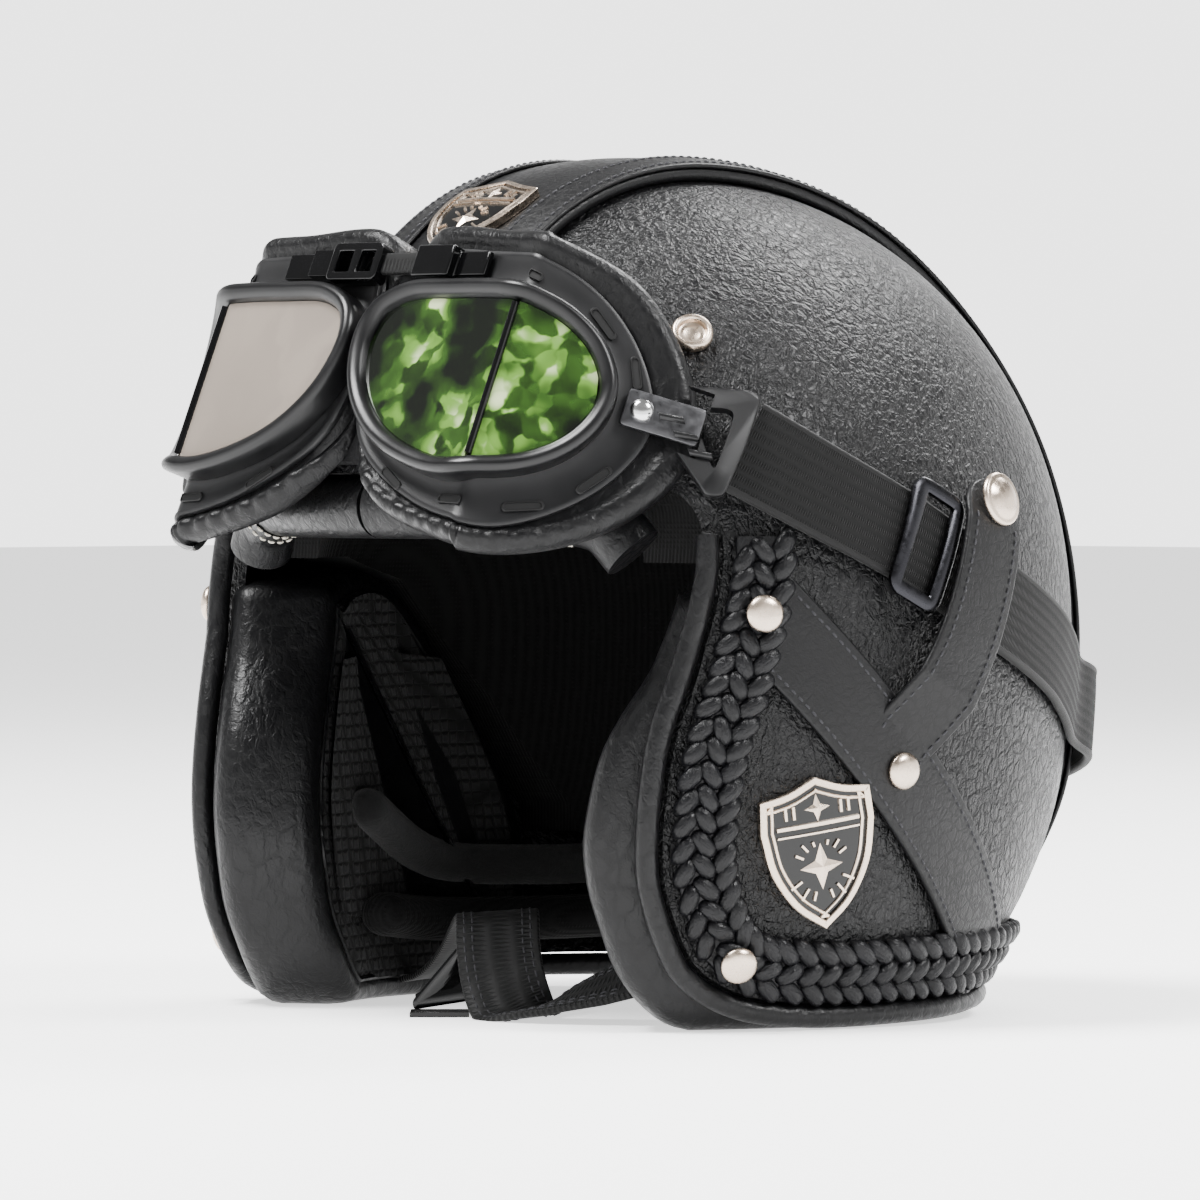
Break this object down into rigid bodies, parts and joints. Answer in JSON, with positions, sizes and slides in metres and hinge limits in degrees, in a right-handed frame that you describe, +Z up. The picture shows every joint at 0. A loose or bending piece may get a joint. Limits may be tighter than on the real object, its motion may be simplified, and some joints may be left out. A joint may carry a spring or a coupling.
{
  "type": "open-face motorcycle helmet with goggles",
  "caption": "Open-face helmet covered in black leather, with a braided rim, padded cheeks and aviator goggles strapped round it.",
  "frame": {"origin": "on the floor under the middle of the bounding box", "axes": "+Z up, +X to the wearer's left, the face opening looks along -Y"},
  "size_m": [0.2692, 0.2686, 0.246],
  "materials": {
    "wrinkled_leather": "wrinkled grain, satin",
    "smooth_leather": "fine grain, satin",
    "braided_leather": "braided, satin",
    "lining_fabric": "matte",
    "fleece_fabric": "fleece, matte",
    "elastic": "knitted, matte",
    "nylon": "woven, slight sheen",
    "black_plastic": "satin",
    "nickel": "satin champagne nickel",
    "black_nickel": "dark nickel",
    "gunmetal": "satin gunmetal",
    "satin_steel": "satin",
    "tinted_lens": "mirrored dark tint"
  },
  "bodies": {
    "root": {"shell": "wrinkled_leather", "comfort_liner": "lining_fabric", "crown_band": "smooth_leather", "crown_trim_left": "smooth_leather", "crown_trim_right": "smooth_leather", "edge_braid_left": "braided_leather", "edge_braid_right": "braided_leather", "edge_piping_left": "smooth_leather", "edge_piping_right": "smooth_leather", "cheek_pad_left": "smooth_leather", "cheek_pad_right": "smooth_leather", "temple_roll_left": "smooth_leather", "temple_roll_right": "smooth_leather", "neck_roll_upper": "fleece_fabric", "neck_roll_lower": "lining_fabric", "side_band_left": "smooth_leather", "side_band_right": "smooth_leather", "band_rivet_1_left": "nickel", "band_rivet_1_right": "nickel", "band_rivet_2_left": "nickel", "band_rivet_2_right": "nickel", "band_rivet_3_left": "nickel", "band_rivet_3_right": "nickel", "keeper_strap_left": "smooth_leather", "keeper_strap_right": "smooth_leather", "keeper_snap_left": "nickel", "keeper_snap_right": "nickel", "visor_snap_left": "black_nickel", "visor_snap_right": "black_nickel", "goggle_strap": "elastic", "strap_slider_left": "gunmetal", "strap_slider_right": "gunmetal", "strap_anchor_left": "black_plastic", "strap_anchor_right": "black_plastic", "strap_tab_left": "satin_steel", "strap_tab_right": "satin_steel", "tab_rivet_left": "satin_steel", "tab_rivet_right": "satin_steel", "goggle_pad_left": "smooth_leather", "goggle_pad_right": "smooth_leather", "goggle_plate_left": "black_plastic", "goggle_plate_right": "black_plastic", "goggle_rim_left": "black_plastic", "goggle_rim_right": "black_plastic", "lens_inner_left": "tinted_lens", "lens_inner_right": "tinted_lens", "lens_outer_left": "tinted_lens", "lens_outer_right": "tinted_lens", "lens_bar_left": "satin_steel", "lens_bar_right": "satin_steel", "bridge_strap": "elastic", "bridge_buckle": "black_plastic", "bridge_block_left": "black_plastic", "bridge_block_right": "black_plastic", "front_badge": "nickel", "side_badge_left": "nickel", "side_badge_right": "nickel", "chin_strap": "nylon", "chin_buckle": "black_plastic", "buckle_tab": "black_plastic"}
  },
  "joints": []
}
